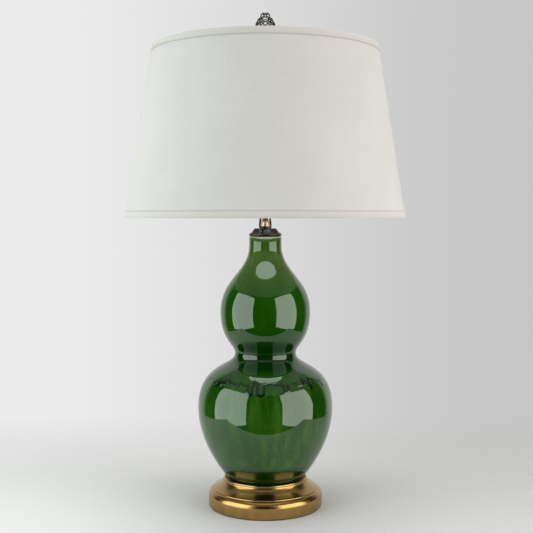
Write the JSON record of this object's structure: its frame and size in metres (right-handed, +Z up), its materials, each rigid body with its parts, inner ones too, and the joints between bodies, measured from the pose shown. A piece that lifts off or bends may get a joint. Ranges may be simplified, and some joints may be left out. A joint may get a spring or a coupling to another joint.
{
  "type": "table lamp",
  "caption": "Table lamp with a hollow glazed double gourd body on a round spun base, socket with turn switch, harp, openwork finial and tapered linen shade.",
  "frame": {"origin": "on the table, under the axis of the pipe that holds the lamp together", "axes": "+Z up along the pipe, the lead's inlet at the back on +Y, the front faces -Y"},
  "size_m": [0.4571, 0.4572, 0.81],
  "materials": {
    "antique_brass": "spun, brushed round and antiqued, lacquered",
    "bright_brass": "polished",
    "dark_bronze": "dark bronze plate",
    "antique_silver": "blackened openwork with worn high spots",
    "zinc_steel": "zinc plated",
    "green_glaze": "glossy deep green glaze",
    "black_satin": "satin black lacquer",
    "linen": "plain off-white linen",
    "linen_trim": "self-coloured folded tape",
    "styrene": "white styrene lining",
    "felt": "dark felt",
    "black_plastic": "moulded",
    "fibre": "insulating fibre sleeve",
    "frosted_glass": "frosted inside",
    "aluminium": "rolled screw cap"
  },
  "bodies": {
    "base": {"base_shell": "antique_brass", "base_felt": "felt", "cord_bushing": "black_plastic", "base_washer": "zinc_steel", "lock_washer": "zinc_steel", "bottom_hex_nut": "zinc_steel", "lamp_pipe": "dark_bronze", "gourd_body": "green_glaze", "foot_gasket": "felt", "neck_cap": "black_satin", "harp_saddle": "dark_bronze", "saddle_nut": "bright_brass", "socket_cap": "bright_brass", "socket_set_screw": "zinc_steel", "socket_shell": "bright_brass", "socket_insulator": "fibre", "socket_body": "black_plastic", "terminal_screws": "bright_brass", "socket_screw_shell": "aluminium", "centre_contact": "bright_brass"},
    "switch": {"switch_spindle": "bright_brass", "switch_knob": "black_plastic"},
    "bulb": {"bulb_glass": "frosted_glass", "bulb_cap": "aluminium", "bulb_contact": "zinc_steel"},
    "harp": {"harp": "dark_bronze"},
    "sleeve_left": {"harp_sleeve_left": "dark_bronze"},
    "sleeve_right": {"harp_sleeve_right": "dark_bronze"},
    "stud": {"harp_stud": "bright_brass"},
    "shade": {"shade_fabric": "linen", "shade_liner": "styrene", "shade_trim_top": "linen_trim", "shade_trim_bottom": "linen_trim", "shade_spider": "bright_brass", "shade_top_ring": "bright_brass", "shade_bottom_ring": "bright_brass"},
    "finial": {"finial_base": "antique_silver", "finial_filigree": "antique_silver"}
  },
  "joints": [
    {"name": "switch_turn", "type": "hinge", "parent": "base", "child": "switch", "pos_m": [0, 0, 0.5074], "axis": [0.9511, -0.309, 0], "continuous": true},
    {"name": "bulb_unscrew", "type": "hinge", "parent": "base", "child": "bulb", "pos_m": [0, 0, 0.52], "axis": [0, 0, 1], "range_deg": [0, 1260]},
    {"name": "harp_lift", "type": "slide", "parent": "base", "child": "harp", "axis": [0, 0, 1], "range_m": [0, 0.03]},
    {"name": "left_sleeve_lift", "type": "slide", "parent": "harp", "child": "sleeve_left", "axis": [0, 0, 1], "range_m": [0, 0.015]},
    {"name": "right_sleeve_lift", "type": "slide", "parent": "harp", "child": "sleeve_right", "axis": [0, 0, 1], "range_m": [0, 0.015]},
    {"name": "shade_swivel", "type": "hinge", "parent": "harp", "child": "stud", "pos_m": [0, 0, 0.7364], "axis": [0, 0, 1], "continuous": true},
    {"name": "shade_lift", "type": "slide", "parent": "stud", "child": "shade", "axis": [0, 0, 1], "range_m": [0, 0.3]},
    {"name": "finial_unscrew", "type": "hinge", "parent": "shade", "child": "finial", "pos_m": [0, 0, 0.745], "axis": [0, 0, 1], "range_deg": [0, 3060]}
  ]
}
